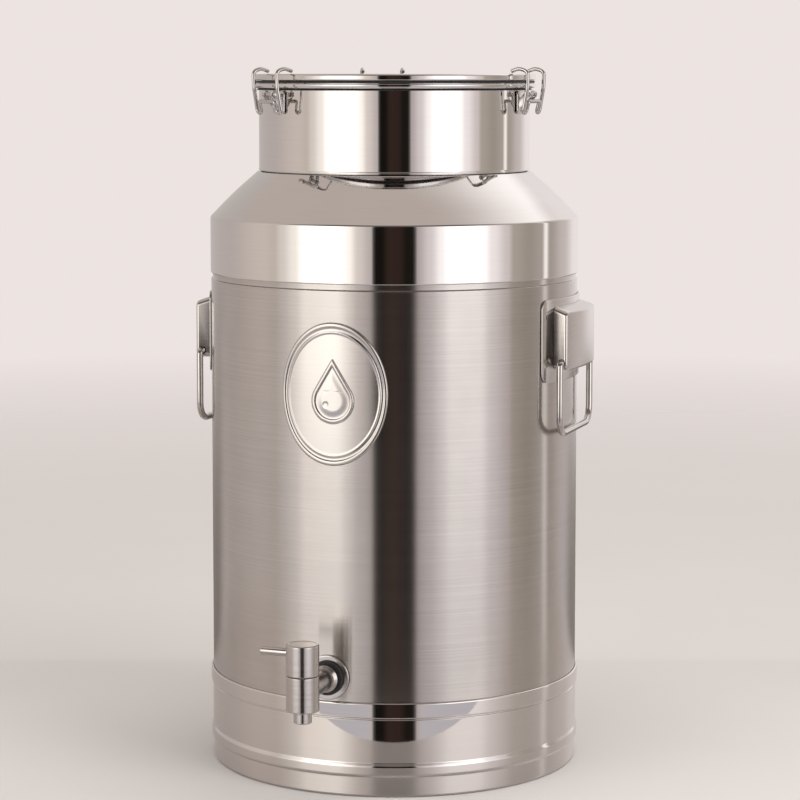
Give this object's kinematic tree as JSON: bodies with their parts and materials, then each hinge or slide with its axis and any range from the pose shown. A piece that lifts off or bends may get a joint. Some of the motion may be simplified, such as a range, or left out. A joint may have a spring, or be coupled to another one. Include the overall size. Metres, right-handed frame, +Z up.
{
  "type": "milk can",
  "caption": "Upright stainless-steel milk can with a brushed body, polished shoulder and base, clamped recessed lid, folding side handles and a bottom drain tap.",
  "frame": {"origin": "centre of the bottom plate's flat underside, on the can's axis, 12 mm above the floor", "axes": "+Z up the can axis to the lid; -Y towards the tap and the badge; the side handles are on -X (left) and +X (right)"},
  "size_m": [0.3608, 0.4039, 0.6218],
  "materials": {
    "brushed_steel": "brushed around the can",
    "polished_steel": "mirror-polished stainless steel",
    "satin_steel": "satin stainless steel",
    "black_rubber": "matt food-grade rubber"
  },
  "bodies": {
    "can": {"body_shell": "brushed_steel", "bottom_plate": "satin_steel", "base_ring": "polished_steel", "shoulder_shell": "polished_steel", "neck_ring": "polished_steel", "badge_plate": "polished_steel", "latch_bracket_1": "satin_steel", "latch_bracket_2": "satin_steel", "latch_bracket_3": "satin_steel", "latch_pin_1": "satin_steel", "latch_pin_2": "satin_steel", "latch_pin_3": "satin_steel", "handle_plate_left": "satin_steel", "handle_plate_right": "satin_steel", "handle_housing_left": "satin_steel", "handle_housing_right": "satin_steel", "tap_washer": "polished_steel", "tap_outer_gasket": "black_rubber", "tap_inner_gasket": "black_rubber", "tap_nut": "satin_steel", "tap_body": "satin_steel", "tap_spout": "satin_steel"},
    "lid": {"lid": "polished_steel", "lid_gasket": "black_rubber", "lid_handle_lug_left": "satin_steel", "lid_handle_lug_right": "satin_steel"},
    "lid_handle": {"lid_handle": "polished_steel"},
    "tap_key": {"tap_knob": "satin_steel", "tap_lever": "polished_steel", "tap_plug": "satin_steel"},
    "bail_left": {"handle_bail_left": "polished_steel"},
    "bail_right": {"handle_bail_right": "polished_steel"},
    "latch_lever_1": {"latch_lever_1": "satin_steel"},
    "latch_hook_1": {"latch_hook_1": "polished_steel"},
    "latch_lever_2": {"latch_lever_2": "satin_steel"},
    "latch_hook_2": {"latch_hook_2": "polished_steel"},
    "latch_lever_3": {"latch_lever_3": "satin_steel"},
    "latch_hook_3": {"latch_hook_3": "polished_steel"}
  },
  "joints": [
    {"name": "lid_lift", "type": "slide", "parent": "can", "child": "lid", "axis": [0, 0, 1], "range_m": [0, 0.036]},
    {"name": "lid_handle_fold", "type": "hinge", "parent": "lid", "child": "lid_handle", "pos_m": [0, 0.03, 0.5936], "axis": [-1, 0, 0], "range_deg": [0, 90]},
    {"name": "tap_turn", "type": "hinge", "parent": "can", "child": "tap_key", "pos_m": [-0.00623, -0.22291, 0.091], "axis": [0, 0, 1], "range_deg": [0, 90]},
    {"name": "bail_left_swing", "type": "hinge", "parent": "can", "child": "bail_left", "pos_m": [-0.1688, 0, 0.355], "axis": [0, 1, 0], "range_deg": [0, 100]},
    {"name": "bail_right_swing", "type": "hinge", "parent": "can", "child": "bail_right", "pos_m": [0.1688, 0, 0.355], "axis": [0, -1, 0], "range_deg": [0, 100]},
    {"name": "latch_1_lever_swing", "type": "hinge", "parent": "can", "child": "latch_lever_1", "pos_m": [-0.07852, -0.10611, 0.5875], "axis": [-0.8039, 0.5948, 0], "range_deg": [0, 115]},
    {"name": "latch_1_hook_swing", "type": "hinge", "parent": "latch_lever_1", "child": "latch_hook_1", "pos_m": [-0.08042, -0.10868, 0.5815], "axis": [0.8039, -0.5948, 0], "range_deg": [0, 253]},
    {"name": "latch_2_lever_swing", "type": "hinge", "parent": "can", "child": "latch_lever_2", "pos_m": [0.13115, -0.01494, 0.5875], "axis": [-0.1132, -0.9936, 0], "range_deg": [0, 115]},
    {"name": "latch_2_hook_swing", "type": "hinge", "parent": "latch_lever_2", "child": "latch_hook_2", "pos_m": [0.13433, -0.0153, 0.5815], "axis": [0.1132, 0.9936, 0], "range_deg": [0, 253]},
    {"name": "latch_3_lever_swing", "type": "hinge", "parent": "can", "child": "latch_lever_3", "pos_m": [-0.05264, 0.12105, 0.5875], "axis": [0.9171, 0.3987, 0], "range_deg": [0, 115]},
    {"name": "latch_3_hook_swing", "type": "hinge", "parent": "latch_lever_3", "child": "latch_hook_3", "pos_m": [-0.05391, 0.12399, 0.5815], "axis": [-0.9171, -0.3987, 0], "range_deg": [0, 253]}
  ],
  "couplings": [
    {"joint": "latch_1_lever_swing", "follows": "lid_lift", "rad_per_m": 55.75},
    {"joint": "latch_1_hook_swing", "follows": "lid_lift", "rad_per_m": 122.65},
    {"joint": "latch_2_lever_swing", "follows": "lid_lift", "rad_per_m": 55.75},
    {"joint": "latch_2_hook_swing", "follows": "lid_lift", "rad_per_m": 122.65},
    {"joint": "latch_3_lever_swing", "follows": "lid_lift", "rad_per_m": 55.75},
    {"joint": "latch_3_hook_swing", "follows": "lid_lift", "rad_per_m": 122.65}
  ]
}
